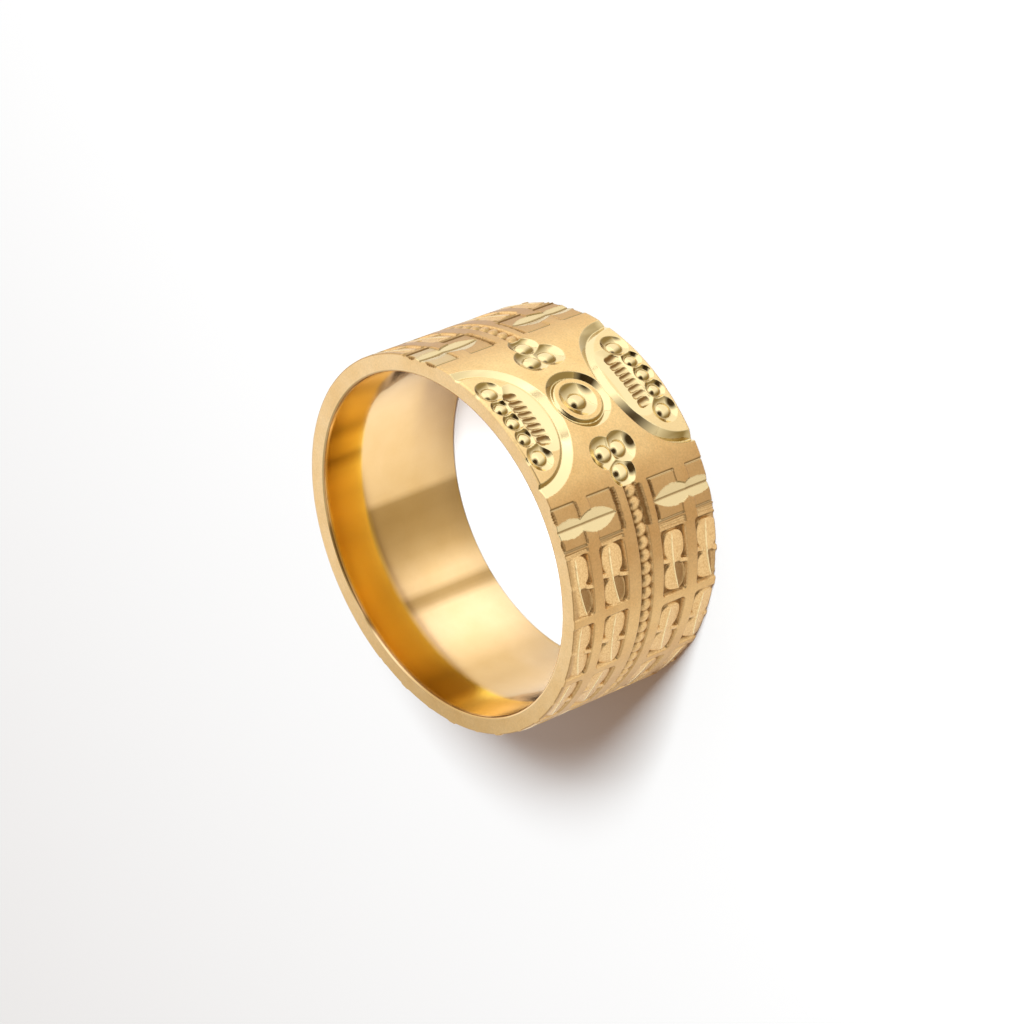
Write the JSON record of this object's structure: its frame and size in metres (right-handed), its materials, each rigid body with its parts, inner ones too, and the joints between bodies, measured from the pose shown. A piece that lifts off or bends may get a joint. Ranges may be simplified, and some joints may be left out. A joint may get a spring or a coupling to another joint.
{
  "type": "band ring",
  "caption": "Wide metal band ring, tapering to the back, with a bright-cut front motif and raised panels around the sides.",
  "frame": {"origin": "on the bore axis, in the plane of the end face that the ring lies on", "axes": "+Z along the bore axis, away from the face it lies on; -Y towards the middle of the front motif"},
  "size_m": [0.0192, 0.0192, 0.0097],
  "materials": {
    "gold": "satin yellow gold with mirror-bright cuts"
  },
  "bodies": {
    "root": {"band": "gold"}
  },
  "joints": []
}
